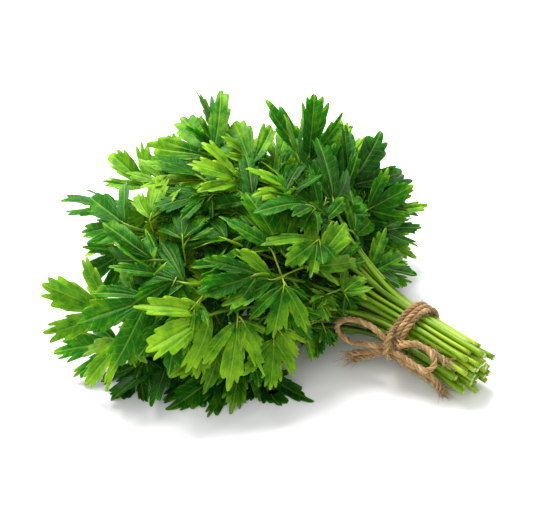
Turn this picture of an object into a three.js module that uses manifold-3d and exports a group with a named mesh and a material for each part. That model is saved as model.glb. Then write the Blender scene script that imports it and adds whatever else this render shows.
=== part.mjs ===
// A tied bunch of flat-leaved parsley lying on its side.
// Millimetres, +Z up. The cut ends point along +X, the leaves fan out toward -X, and the bunch
// rests on the plane z = 0. Each sprig, with its stem, stalks and leaf blades, is one grown piece;
// the twine is the band wound round the stems, the knot, two loops and two tails.
import * as THREE from 'three';
import { mergeVertices } from 'three/addons/utils/BufferGeometryUtils.js';
import Module from 'manifold-3d';

const wasm = await Module();
wasm.setup();

// ---- Driving dimensions ----
const SPRIGS = 54;
const TIE_HEIGHT = 19.4;        // centre of the tied bundle above the surface
const TIE_TILT = 6;             // degrees by which the bundle rises toward the leaves
const CUT_LENGTH = 40;          // from the tie to the cut ends, before each stem's own difference
const CUT_SPREAD = 7;           // how much longer or shorter a stem is cut
const PACK_RADIUS = 13.3;       // circle that holds the stems' centrelines at the tie
const SPREAD_START = 6;         // the stems run straight this far past the middle of the tie
const STEM_RADIUS = 1.3;
const STALK_RADIUS = 0.8;       // side stalk of a leaflet
const STEM_PULL = 0.44;         // share of its reach that a stem keeps to the bundle's direction
const HEAD_PULL = 0.06;         // and that it keeps to its middle leaflet's direction
const LEAFLET_LENGTH = 36;
const SIDE_LEAFLET = 0.86;      // length of a side leaflet as a share of the middle one
const LEAFLET_ANGLE = 62;       // between the middle leaflet and each side one, degrees
const NODE_BELOW_HEAD = 18;     // where the side stalks leave the stem
const STALK_LENGTH = 13;
const JOINT = 0.4;              // how far a blade reaches into what bears it
const BLADE_THICKNESS = 1.1;
const SAG = { along: 0.12, across: 0.36 };     // how far a blade bends down, for a length of 1
const GAP = 0.3;                // clear space kept between neighbouring pieces
const TWINE = 3.3;              // twine diameter
const TURNS = 3;                // turns of twine round the stems

// ---- How finely round things are cut ----
const STEM_FACETS = { sides: 5, steps: 8 };
const STALK_FACETS = { sides: 3, steps: 1 };
const LOOP_FACETS = { sides: 8, steps: 20 };
const TAIL_FACETS = { sides: 8, steps: 6 };
const BAND_FACETS = 24;
const KNOT_FACETS = { round: 12, down: 8 };
const STEM_POINTS = [0.15, 0.3, 0.45, 0.6, 0.8, 1];     // shares of a stem's bend it is run through
const TOLERANCE = 0.03;         // mm by which a sprig's surface may be simplified
const WELD = 1e-4;              // mm within which corners are one

// ---- The leaf dome ----
const DOME = { x: -116, y: -20, z: 38, length: 84, width: 100, height: 60 };
const FACE_UP = 0.008;          // how much blades face upward wherever they are
const LOW_FACE_UP = 0.25;       // and more, the nearer they are to the surface

// Sprigs in two rows on the side turned away from the bow, and sprigs inside the dome.
const BACK = { count: 12, from: 88, to: 203, roll: 25, size: 1, vary: 0.12 };
const BACK_ROWS = [{ reach: 0.95, height: 16, pitch: -8 }, { reach: 0.88, height: 46, pitch: 22 }];
const INNER = { x: -126, length: 42, width: 48, heights: [34, 56], from: 90, pitch: 20, roll: 20,
  size: 1.1 };

// Heads of the sprigs on the open side of the dome: place (mm), heading and pitch of the
// middle leaflet (degrees), roll about its midrib (degrees) and size.
const SHOW_SPRIGS = [
  [-55, -50, 75, 165, 40, 0, 1.25], [-84, -63, 77, -165, 10, 0, 1.1],
  [-55, -70, 72, -120, -10, 0, 1.1], [-62, -99, 58, -100, -5, 0, 1.2],
  [-115, -125, 47, -165, 6, -20, 1.2], [-94, -113, 60, -115, -5, 0, 1.2],
  [-118, -116, 17, -140, 0, -10, 1.15], [-95, -100, 10, -99, 0, 0, 1.3],
  [-65, -82, 8, -90, 0, 0, 1.3], [-50, -74, 46, -85, -40, 0, 0.85],
  [-42, -58, 47, -90, -40, 10, 0.75], [-54, -46, 20, -105, -20, 20, 0.8],
  [-138, -88, 75, 175, 5, -20, 1.1], [-105, -98, 72, -150, -10, -10, 1.1],
  [-140, -52, 84, 165, 10, 0, 0.9], [-125, -40, 88, 180, 15, 20, 1.1],
  [-132, -24, 92, 165, 22, 0, 1.35], [-146, -5, 88, 150, 34, 70, 1],
  [-110, -15, 92, 150, 20, 20, 1.1], [-89, -37, 88, 180, 10, -20, 1.1],
  [-75, -12, 86, -165, 10, 20, 1.2], [-62, -30, 80, -150, 10, 20, 1.1],
  [-85, 0, 88, 135, 40, 50, 1.1], [-105, 30, 75, 120, 60, 0, 1.2],
  [-103, 61, 60, 135, 30, 0, 0.9], [-65, 5, 75, 135, 30, 30, 1.3],
  [-85, 45, 60, 97, 22, 10, 1.35], [-75, 50, 50, 90, 8, 20, 1.3],
  [-75, 60, 38, 80, 20, 0, 1.1], [-55, 12, 54, 120, 30, 20, 0.9],
  [-46, -19, 54, 90, 20, 0, 0.85], [-40, 9, 36, 75, 10, 10, 0.85],
  [-38, -32, 40, 60, 10, 0, 0.7], [-40, -32, 60, 150, 40, 0, 0.7],
  [-82, -98, 68, -165, 0, 0, 1.1], [-67, -86, 34, -96, -15, 0, 1.1],
];

const RAD = Math.PI / 180;
const BEND_EASE = 1.5;          // a longer stem bends more gently, by this power of its reach
const GOLDEN_ANGLE = Math.PI * (3 - Math.sqrt(5));
const vec = (x, y, z) => new THREE.Vector3(x, y, z);
const along = (start, ...steps) => steps.reduce(
  (sum, [direction, distance]) => sum.addScaledVector(direction, distance), start.clone());

// Direction `from` turned by `angle` degrees toward the direction `to`, square to it.
const turned = (from, to, angle) => along(vec(0, 0, 0),
  [from, Math.cos(angle * RAD)], [to, Math.sin(angle * RAD)]);

// Axes of the tied bundle: toward the leaves, to the side, and up out of the bundle.
const TIE = vec(0, 0, TIE_HEIGHT);
const AXIS = vec(-Math.cos(TIE_TILT * RAD), 0, Math.sin(TIE_TILT * RAD));
const SIDE = vec(0, 1, 0);
const RISE = vec(Math.sin(TIE_TILT * RAD), 0, Math.cos(TIE_TILT * RAD));

// A repeatable number from -1 to 1 for sprig `i` and trait `k`.
const TRAIT = { roll: 3, size: 4, cut: 6 };
function vary(i, k) {
  const wave = Math.sin(i * 12.9898 + k * 78.233) * 43758.5453;
  return (wave - Math.floor(wave)) * 2 - 1;
}

// ---- Layout ----

// A point on an upright ellipse round the dome's middle, at a heading and a height.
const around = (x, length, width, heading, z) => vec(
  x + length * Math.cos(heading * RAD), DOME.y + width * Math.sin(heading * RAD), z);

function headsOfSprigs() {
  const heads = SHOW_SPRIGS.map(([x, y, z, heading, pitch, roll, size]) => (
    { place: vec(x, y, z), heading, pitch, roll, size }));
  for (let j = 0; j < BACK.count; j += 1) {
    const row = BACK_ROWS[j % 2];
    const heading = BACK.from + ((BACK.to - BACK.from) * j) / (BACK.count - 1);
    heads.push({
      place: around(DOME.x, row.reach * DOME.length, row.reach * DOME.width, heading, row.height),
      heading,
      pitch: row.pitch,
      roll: BACK.roll * vary(j, TRAIT.roll),
      size: BACK.size + BACK.vary * vary(j, TRAIT.size),
    });
  }
  const inner = SPRIGS - heads.length;
  for (let j = 0; j < inner; j += 1) {
    const heading = INNER.from + (360 * j) / inner;
    heads.push({
      place: around(INNER.x, INNER.length, INNER.width, heading, INNER.heights[j % 2]),
      heading,
      pitch: INNER.pitch,
      roll: INNER.roll * vary(j, TRAIT.roll),
      size: INNER.size,
    });
  }
  return heads;
}

// Places in the bundle, in a sunflower spiral: side and rise from the bundle's centreline.
function slotsInBundle() {
  return Array.from({ length: SPRIGS }, (_, i) => {
    const radius = PACK_RADIUS * Math.sqrt((i + 0.5) / SPRIGS);
    return [radius * Math.cos(i * GOLDEN_ANGLE), radius * Math.sin(i * GOLDEN_ANGLE)];
  });
}

// Gives each head a slot so that stems that bend one way stand on that side of the bundle:
// pairs swap places until no swap helps, and then no two stems have to cross.
function sortIntoSlots(heads) {
  const bends = heads.map(({ place }) => {
    const run = place.clone().sub(TIE);
    const ease = run.length() ** BEND_EASE;
    return [run.dot(SIDE) / ease, run.dot(RISE) / ease];
  });
  const slots = slotsInBundle();
  let swapped = true;
  while (swapped) {
    swapped = false;
    for (let i = 0; i < SPRIGS; i += 1) {
      for (let j = i + 1; j < SPRIGS; j += 1) {
        const gain = (slots[i][0] - slots[j][0]) * (bends[i][0] - bends[j][0])
          + (slots[i][1] - slots[j][1]) * (bends[i][1] - bends[j][1]);
        if (gain < -1e-9) {
          [slots[i], slots[j]] = [slots[j], slots[i]];
          swapped = true;
        }
      }
    }
  }
  return slots;
}

// The directions of a head: `tip` along the midrib, `face` out of the blade, `across` it.
// Blades face out of the dome, and the lower they are the more they lie flat.
function axesOfHead({ place, heading, pitch, roll }) {
  const tip = vec(Math.cos(pitch * RAD) * Math.cos(heading * RAD),
    Math.cos(pitch * RAD) * Math.sin(heading * RAD), Math.sin(pitch * RAD));
  const upward = FACE_UP + LOW_FACE_UP / place.z;
  const outward = vec((place.x - DOME.x) / DOME.length ** 2, (place.y - DOME.y) / DOME.width ** 2,
    Math.max(place.z - DOME.z, 0) / DOME.height ** 2 + upward);
  const face = outward.addScaledVector(tip, -outward.dot(tip)).normalize();
  const across = tip.clone().cross(face);
  const rolledFace = turned(face, across, roll);
  return { tip, face: rolledFace, across: tip.clone().cross(rolledFace) };
}

function layOutSprigs() {
  const heads = headsOfSprigs();
  const slots = sortIntoSlots(heads);
  return heads.map((head, i) => {
    const axes = axesOfHead(head);
    const root = along(TIE, [AXIS, SPREAD_START], [SIDE, slots[i][0]], [RISE, slots[i][1]]);
    const reach = head.place.distanceTo(root);
    const curve = new THREE.CubicBezierCurve3(root, along(root, [AXIS, STEM_PULL * reach]),
      along(head.place, [axes.tip, -HEAD_PULL * reach]), head.place);
    const cut = SPREAD_START + CUT_LENGTH + CUT_SPREAD * vary(i, TRAIT.cut);
    return { ...head, ...axes, root, curve, cut };
  });
}

// ---- Solids ----

function solidOf(geometry) {
  geometry.deleteAttribute('normal');
  geometry.deleteAttribute('uv');
  const merged = mergeVertices(geometry, WELD);
  return new wasm.Manifold(new wasm.Mesh({
    numProp: 3,
    vertProperties: new Float32Array(merged.attributes.position.array),
    triVerts: new Uint32Array(merged.index.array),
  }));
}

function polygon(radius, sides) {
  const corners = Array.from({ length: sides }, (_, i) => {
    const angle = (2 * Math.PI * i) / sides;
    return new THREE.Vector2(radius * Math.cos(angle), radius * Math.sin(angle));
  });
  return new THREE.Shape(corners);
}

function tube(path, radius, { sides, steps }) {
  return new THREE.ExtrudeGeometry(polygon(radius, sides),
    { steps, extrudePath: path, bevelEnabled: false });
}

// A stem from its cut end through the tie to its head; `extra` thickens it.
function stemSolid({ root, cut, curve }, extra = 0) {
  const path = new THREE.CatmullRomCurve3([
    along(root, [AXIS, -cut]), along(root, [AXIS, -cut / 2]), root,
    ...STEM_POINTS.map((share) => curve.getPoint(share)),
  ]);
  return solidOf(tube(path, STEM_RADIUS + extra, STEM_FACETS));
}

// One half of a three-lobed leaflet outline, from its stalk to its tip, for a length of 1.
const HALF_OUTLINE = [[0, 0], [0.48, 0.26], [0.25, 0.42], [0.33, 0.68], [0, 1]];
const OUTLINE_MIDDLE = 0.4;     // how far along the leaflet the outline grows from

function leafletOutline(length, extra) {
  const right = HALF_OUTLINE.map(([x, y]) => new THREE.Vector2(
    x * length + Math.sign(x) * extra,
    (y - OUTLINE_MIDDLE) * (length + 2 * extra) + OUTLINE_MIDDLE * length));
  const left = right.slice(1, -1).reverse().map(({ x, y }) => new THREE.Vector2(-x, y));
  return new THREE.Shape([...right, ...left]);
}

// A leaflet blade, cupped and bent down toward its tip, kept above the surface.
function bladeSolid({ base, tip, across, face, length }, extra = 0) {
  const thickness = BLADE_THICKNESS + 2 * extra;
  const geometry = new THREE.ExtrudeGeometry(leafletOutline(length, extra),
    { depth: thickness, bevelEnabled: false });
  const position = geometry.attributes.position;
  for (let i = 0; i < position.count; i += 1) {
    const [x, y, z] = [position.getX(i), position.getY(i), position.getZ(i)];
    const sag = (SAG.across * x * x + SAG.along * y * y) / length;
    const middle = along(base, [across, x], [tip, y], [face, -sag]);
    middle.z = Math.max(middle.z, thickness / 2);
    const point = along(middle, [face, z - thickness / 2]);
    position.setXYZ(i, point.x, point.y, point.z);
  }
  return solidOf(geometry);
}

// The three leaflets of a sprig: one at the end of the stem and one to each side.
function leafletsOf({ place, tip, across, face, size }) {
  const length = LEAFLET_LENGTH * size;
  const middle = { base: along(place, [tip, -JOINT]), tip, across, face, length, stalked: false };
  const pair = [LEAFLET_ANGLE, -LEAFLET_ANGLE].map((angle) => {
    const aside = turned(tip, across, angle);
    return {
      base: along(place, [tip, -NODE_BELOW_HEAD], [aside, STALK_LENGTH]),
      tip: aside,
      across: aside.clone().cross(face),
      face,
      length: SIDE_LEAFLET * length,
      stalked: true,
    };
  });
  return [middle, ...pair];
}

// The stalk that joins a side leaflet to its stem.
function stalkSolid(sprig, leaflet, extra = 0) {
  const node = sprig.curve.getPointAt(1 - NODE_BELOW_HEAD / sprig.curve.getLength());
  const path = new THREE.LineCurve3(node, along(leaflet.base, [leaflet.tip, JOINT]));
  return solidOf(tube(path, STALK_RADIUS + extra, STALK_FACETS));
}

const overlap = (a, b) => ['0', '1', '2'].every(
  (axis) => a.min[axis] < b.max[axis] && b.min[axis] < a.max[axis]);

function meshOf(name, solid, material) {
  const { vertProperties, triVerts } = solid.getMesh();
  const geometry = new THREE.BufferGeometry();
  geometry.setAttribute('position', new THREE.BufferAttribute(vertProperties, 3));
  geometry.setIndex(new THREE.BufferAttribute(triVerts, 1));
  const mesh = new THREE.Mesh(geometry, material);
  mesh.name = name;
  return mesh;
}

const sprigs = layOutSprigs();
const group = new THREE.Group();

// A side leaflet's stalk and blade, or the middle blade, in one closed solid.
function leafletSolid(sprig, leaflet, extra = 0) {
  const blade = bladeSolid(leaflet, extra);
  return leaflet.stalked ? blade.add(stalkSolid(sprig, leaflet, extra)) : blade;
}

// Shares of its size and rolls about its midrib (degrees) that a leaflet tries until it fits.
const FIT = { scales: [1, 0.85, 0.7, 0.55, 0.4], rolls: [0, 15, -15, 30, -30, 50, -50] };

// Joins a leaflet to `stem`, as large as it fits: it rolls and shrinks until it stays clear of
// `others`. A leaflet that has no room at all is left off.
function fittedLeaflet(stem, sprig, leaflet, others) {
  for (const scale of FIT.scales) {
    for (const roll of FIT.rolls) {
      const trial = {
        ...leaflet,
        length: leaflet.length * scale,
        face: turned(leaflet.face, leaflet.across, roll),
        across: turned(leaflet.across, leaflet.face, -roll),
      };
      const solid = leafletSolid(sprig, trial);
      const grown = stem.add(solid);
      const meets = (other) => overlap(solid.boundingBox(), other.boundingBox())
        && !solid.intersect(other).isEmpty();
      if (grown.decompose().length === 1 && !others.some(meets)) {
        return { grown, guard: leafletSolid(sprig, trial, GAP) };
      }
    }
  }
  return null;
}

const PARSLEY = { color: 0x4f8a1f, roughness: 0.5, metalness: 0 };

// Each sprig keeps clear of the stems of all the others and of the leaflets of those before it.
function addSprigs() {
  const guards = sprigs.map((sprig) => stemSolid(sprig, GAP));
  const placed = [];
  sprigs.forEach((sprig, i) => {
    const others = [...guards.filter((_, j) => j !== i), ...placed];
    let solid = stemSolid(sprig);
    leafletsOf(sprig).forEach((leaflet) => {
      const fitted = fittedLeaflet(solid, sprig, leaflet, others);
      if (!fitted) return;
      solid = fitted.grown;
      placed.push(fitted.guard);
    });
    const name = `sprig_${String(i + 1).padStart(2, '0')}`;
    group.add(meshOf(name, solid.simplify(TOLERANCE), new THREE.MeshStandardMaterial(PARSLEY)));
  });
}

// ---- Twine ----

const BAND_RADIUS = PACK_RADIUS + STEM_RADIUS + GAP;     // inside of the wound band
const BAND_WIDTH = TURNS * TWINE;
const KNOT = { axis: -0.6, side: -22.2, rise: 4.4 };
const KNOT_SIZE = { axis: 5.2, side: 3.8, rise: 6.2 };

// A point of the bow, in the bundle's directions from the centre of the knot.
const fromKnot = (axis, side, rise) => along(TIE,
  [AXIS, KNOT.axis + axis], [SIDE, KNOT.side + side], [RISE, KNOT.rise + rise]);

// Routes of the loops and the tails, outward from the knot and, for a loop, back to it.
const LOOP_LEFT = [[5.8, -0.2, 2.8], [13.4, -2.2, 7], [22.6, -5.1, 8], [29, -8, 4.6],
  [31.9, -9.7, -1.6], [27.6, -8.8, -6.1], [18.7, -7.3, -5.5], [9.2, -4.7, -2.1], [5.9, -2.2, -1.6]];
const LOOP_RIGHT = [[-5.8, 0.6, 4.2], [-10.5, 4.6, 6.3], [-17.1, 6.3, 6.8], [-24.6, 4.8, 5.5],
  [-27.5, 1.5, 3.1], [-24.3, -1.4, -0.3], [-16.2, -1.5, -0.9], [-9, -1.2, -0.4], [-5.9, -0.8, -0.4]];
const TAIL_LEFT = [[5.2, -1.4, -5.6], [10.5, -4.7, -8.4], [15.8, -8.5, -9.6], [19.4, -11.5, -11.9]];
const TAIL_RIGHT = [[-5.6, 0.4, -5.2], [-12.9, 3.4, -7.6], [-20.8, 3.8, -7.4], [-27.4, 4.2, -7.6],
  [-33.7, 7.2, -14.8]];

const TWINE_MATERIAL = { color: 0xa67c4e, roughness: 0.95, metalness: 0 };

function twineTube(name, route, facets) {
  const path = new THREE.CatmullRomCurve3(route.map((point) => fromKnot(...point)));
  const solid = solidOf(tube(path, TWINE / 2, facets));
  return meshOf(name, solid, new THREE.MeshStandardMaterial(TWINE_MATERIAL));
}

function twineBand() {
  const [inner, outer, half, round] = [BAND_RADIUS, BAND_RADIUS + TWINE, BAND_WIDTH / 2, TWINE / 3];
  const profile = [[inner, -half], [outer - round, -half], [outer, round - half],
    [outer, half - round], [outer - round, half], [inner, half], [inner, -half]];
  const ring = new THREE.LatheGeometry(profile.map(([x, y]) => new THREE.Vector2(x, y)), BAND_FACETS);
  const mesh = new THREE.Mesh(ring, new THREE.MeshStandardMaterial(TWINE_MATERIAL));
  mesh.name = 'twine_band';
  mesh.quaternion.setFromUnitVectors(vec(0, 1, 0), AXIS);
  mesh.position.copy(TIE);
  return mesh;
}

function twineKnot() {
  const mesh = new THREE.Mesh(new THREE.SphereGeometry(1, KNOT_FACETS.round, KNOT_FACETS.down),
    new THREE.MeshStandardMaterial(TWINE_MATERIAL));
  mesh.name = 'twine_knot';
  mesh.scale.set(KNOT_SIZE.axis, KNOT_SIZE.side, KNOT_SIZE.rise);
  mesh.rotation.y = TIE_TILT * RAD;
  mesh.position.copy(fromKnot(0, 0, 0));
  return mesh;
}

addSprigs();
group.add(twineBand(), twineKnot());
group.add(twineTube('twine_loop_left', LOOP_LEFT, LOOP_FACETS),
  twineTube('twine_loop_right', LOOP_RIGHT, LOOP_FACETS));
group.add(twineTube('twine_tail_left', TAIL_LEFT, TAIL_FACETS),
  twineTube('twine_tail_right', TAIL_RIGHT, TAIL_FACETS));

// The origin is the middle of the bunch's footprint on the surface.
const box = new THREE.Box3().setFromObject(group, true);
group.position.set(-(box.min.x + box.max.x) / 2, -(box.min.y + box.max.y) / 2, -box.min.z);

export default group;
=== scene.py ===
"""A tied bunch of flat-leaved parsley lying on its side.

Every sprig of the frame gets its ridged stem, its stalks and its toothed leaf blades. The twine
is three-ply jute: one length tied in a bow, a second strand beside its tails and an end tucked
under it. Shapes are worked out in millimetres from the foot of the tie, with the cut ends toward
+X and the leaves toward -X, and then set into the frame in metres.
"""

import logging
import math
from dataclasses import dataclass, field
from enum import IntEnum

import bpy
import numpy as np
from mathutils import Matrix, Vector


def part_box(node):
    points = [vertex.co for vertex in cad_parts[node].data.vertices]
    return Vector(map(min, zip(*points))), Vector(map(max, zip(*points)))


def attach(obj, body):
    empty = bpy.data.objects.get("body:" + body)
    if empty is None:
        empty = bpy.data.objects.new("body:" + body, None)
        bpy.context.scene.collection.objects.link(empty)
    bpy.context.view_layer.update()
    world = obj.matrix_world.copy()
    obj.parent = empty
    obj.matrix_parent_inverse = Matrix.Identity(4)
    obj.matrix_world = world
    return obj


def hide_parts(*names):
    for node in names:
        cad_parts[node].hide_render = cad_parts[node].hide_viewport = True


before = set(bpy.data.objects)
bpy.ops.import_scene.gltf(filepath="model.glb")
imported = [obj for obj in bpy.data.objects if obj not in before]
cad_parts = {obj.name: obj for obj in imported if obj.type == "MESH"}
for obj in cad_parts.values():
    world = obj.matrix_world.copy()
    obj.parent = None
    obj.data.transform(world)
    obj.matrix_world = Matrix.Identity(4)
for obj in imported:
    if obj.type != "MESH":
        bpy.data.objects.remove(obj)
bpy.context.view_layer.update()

logging.basicConfig(level=logging.INFO, format="%(message)s")
log = logging.getLogger("parsley")

MM = 0.001
GOLDEN_ANGLE = math.pi * (3 - math.sqrt(5))
TINY = 1e-9
FIRST_SEED, PLY_SEED, FUZZ_SEED = 100, 7, 11  # where the sprigs' and the twine's chances start

# ---- The tied bundle, in millimetres ----
TIE_HEIGHT = 19.4  # centre of the tied bundle above the surface
TIE_TILT = math.radians(6)  # the bundle rises toward the leaves
PACK_RADIUS = 13.3  # circle that holds the stems' centrelines at the tie
STEM_ROOM = 1.3  # radius that each stem has in the frame
SPREAD_START = 6.0  # the stems run straight this far past the middle of the tie
CUT_LENGTH = 40.0
CUT_SPREAD = 7.0
GAP = 0.3
TWINE = 3.3  # twine diameter

TIE = np.array([0.0, 0.0, TIE_HEIGHT])
AXIS = np.array([-math.cos(TIE_TILT), 0.0, math.sin(TIE_TILT)])
SIDE = np.array([0.0, 1.0, 0.0])
RISE = np.array([math.sin(TIE_TILT), 0.0, math.cos(TIE_TILT)])

# ---- The leaf dome ----
DOME_CENTRE = np.array([-116.0, -20.0, 38.0])
DOME_SIZE = np.array([84.0, 100.0, 60.0])
LEAFLET_LENGTH = 36.0
FACE_UP = 0.008  # how much blades face upward wherever they are
LOW_FACE_UP = 0.25  # and more, the nearer they are to the surface

# ---- How finely curves are drawn ----
RUN_SAMPLES = 12  # samples between two given points of a curve
BEND_SAMPLES = 60  # samples on the bend of a stem
TWINE_STEP = 0.9  # mm between the twine's samples
EASE_REACH, EASE_SPREAD = 6, 2.0  # samples over which the twine's turns are rounded

Array = np.ndarray
Socket = bpy.types.NodeSocket
Pair = tuple[float, float]
Triple = tuple[float, float, float]


@dataclass(frozen=True)
class Head:
    """Where a sprig's middle leaflet starts, how it is turned, its size and its shade of green."""

    place: Array
    heading: float
    pitch: float
    roll: float
    size: float
    tone: float


# Place (mm), heading, pitch and roll of the middle leaflet (degrees), size, and tone from
# dark (0) to yellow-green (1).
SHOW_SPRIGS = (
    (-55, -50, 75, 165, 40, 0, 1.25, 0.62), (-84, -63, 77, -165, 10, 0, 1, 0.49),
    (-55, -70, 72, -120, -10, 0, 1, 0.53), (-62, -99, 58, -100, -5, 0, 1.2, 0.72),
    (-115, -125, 47, -165, 6, -20, 1.2, 0.7), (-94, -113, 60, -115, -5, 0, 1.2, 0.51),
    (-118, -116, 17, -140, 0, -10, 1.15, 0.41), (-95, -100, 10, -99, 0, 0, 1.3, 0.37),
    (-65, -82, 8, -95, 0, 0, 1.3, 0.41), (-50, -74, 46, -85, -40, 0, 0.85, 0.41),
    (-42, -58, 47, -90, -40, 10, 0.62, 0.54), (-54, -46, 20, -105, -20, 20, 0.8, 0.47),
    (-138, -88, 75, 175, 5, -20, 1.1, 0.54), (-105, -98, 72, -150, -10, -10, 1.1, 0.38),
    (-140, -52, 84, 165, 10, 0, 0.9, 0.54), (-125, -40, 88, 180, 15, 20, 1.1, 0.38),
    (-132, -24, 92, 165, 22, 0, 1.35, 0.64), (-146, -5, 88, 150, 34, 70, 1, 0.57),
    (-110, -15, 92, 150, 20, 20, 1.1, 0.62), (-89, -37, 88, 180, 10, -20, 1.1, 0.42),
    (-75, -12, 86, -165, 10, 20, 1.2, 0.46), (-62, -30, 80, -150, 10, 20, 1.1, 0.54),
    (-85, 0, 88, 135, 40, 50, 1.1, 0.67), (-105, 30, 75, 120, 60, 0, 1.2, 0.38),
    (-103, 61, 60, 135, 30, 0, 0.9, 0.74), (-65, 5, 75, 135, 30, 30, 1.3, 0.44),
    (-85, 45, 60, 97, 22, 10, 1.35, 0.37), (-75, 50, 50, 90, 8, 20, 1.3, 0.37),
    (-75, 60, 38, 80, 20, 0, 0.95, 0.54), (-55, 12, 54, 120, 30, 20, 0.9, 0.47),
    (-46, -19, 54, 90, 20, 0, 0.85, 0.54), (-40, 9, 36, 75, 10, 10, 0.85, 0.47),
    (-44, -35, 38, 80, 10, 0, 0.7, 0.47), (-40, -32, 60, 150, 40, 0, 0.7, 0.6),
    (-82, -98, 68, -165, 0, 0, 1.1, 0.44), (-67, -86, 34, -96, -15, 0, 1.1, 0.35),
)


def origin_in_frame() -> Array:
    """The foot of the tie in the row frame, in metres, from the band that the frame holds."""
    low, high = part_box("twine_band")
    return np.array((low + high) / 2) - TIE * MM


ORIGIN = origin_in_frame()


def unit(vector: Array) -> Array:
    """The vector, or each row of it, at a length of one."""
    return vector / np.linalg.norm(vector, axis=-1, keepdims=True)


class Trait(IntEnum):
    """What differs from sprig to sprig."""

    ROLL = 3
    SIZE = 4
    TONE = 5
    CUT = 6
    STEM_WIDTH = 7
    STEM_TONE = 8
    CUT_SLOPE = 9


def vary(index: int, trait: int) -> float:
    """A repeatable number from -1 to 1 for a sprig and one of its traits."""
    wave = math.sin(index * 12.9898 + trait * 78.233) * 43758.5453
    return (wave - math.floor(wave)) * 2 - 1


def smooth_step(low: float, high: float, value: Array) -> Array:
    """0 below `low`, 1 above `high`, and an easy curve between them."""
    share = np.clip((value - low) / (high - low), 0, 1)
    return share * share * (3 - 2 * share)


def spline(points: Array, step: float) -> Array:
    """A smooth curve through points, sampled evenly.

    Args:
        points: the points that the curve passes through.
        step: distance between the samples.

    Returns:
        The samples, one row each.
    """
    padded = np.vstack([2 * points[0] - points[1], points, 2 * points[-1] - points[-2]])
    share = np.linspace(0, 1, RUN_SAMPLES, endpoint=False)[:, None]
    runs = []
    for a, b, c, d in zip(padded, padded[1:], padded[2:], padded[3:]):
        runs.append(
            b
            + (c - a) / 2 * share
            + (a - 2.5 * b + 2 * c - d / 2) * share**2
            + ((3 * b - 3 * c + d - a) / 2) * share**3
        )
    return evenly(np.vstack([*runs, points[-1:]]), step)


def evenly(path: Array, step: float) -> Array:
    """A path's points moved to even distances along it."""
    length = np.concatenate([[0], np.cumsum(np.linalg.norm(np.diff(path, axis=0), axis=1))])
    marks = np.linspace(0, length[-1], max(2, round(length[-1] / step) + 1))
    return np.stack([np.interp(marks, length, path[:, k]) for k in range(3)], axis=1)


def eased(path: Array) -> Array:
    """A path with its sharpest turns taken off, as stiff twine does by itself."""
    weights = np.exp(-0.5 * (np.arange(-EASE_REACH, EASE_REACH + 1) / EASE_SPREAD) ** 2)
    ends = [np.repeat(end, EASE_REACH, axis=0) for end in (path[:1], path[-1:])]
    padded = np.vstack([ends[0], path, ends[1]])
    rounded = [np.convolve(padded[:, k], weights / weights.sum(), "valid") for k in range(3)]
    return evenly(np.stack(rounded, axis=1), TWINE_STEP)


def bezier(
    start: Array, first: Array, second: Array, end: Array, count: int
) -> Array:
    """Points on a cubic Bezier curve."""
    t = np.linspace(0, 1, count)[:, None]
    rest = 1 - t
    return rest**3 * start + 3 * rest**2 * t * first + 3 * rest * t**2 * second + t**3 * end


class Finish(IntEnum):
    """The surfaces of a sprig, in the order of its materials."""

    BLADE = 0
    UNDERSIDE = 1
    STEM = 2
    CUT = 3


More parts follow.
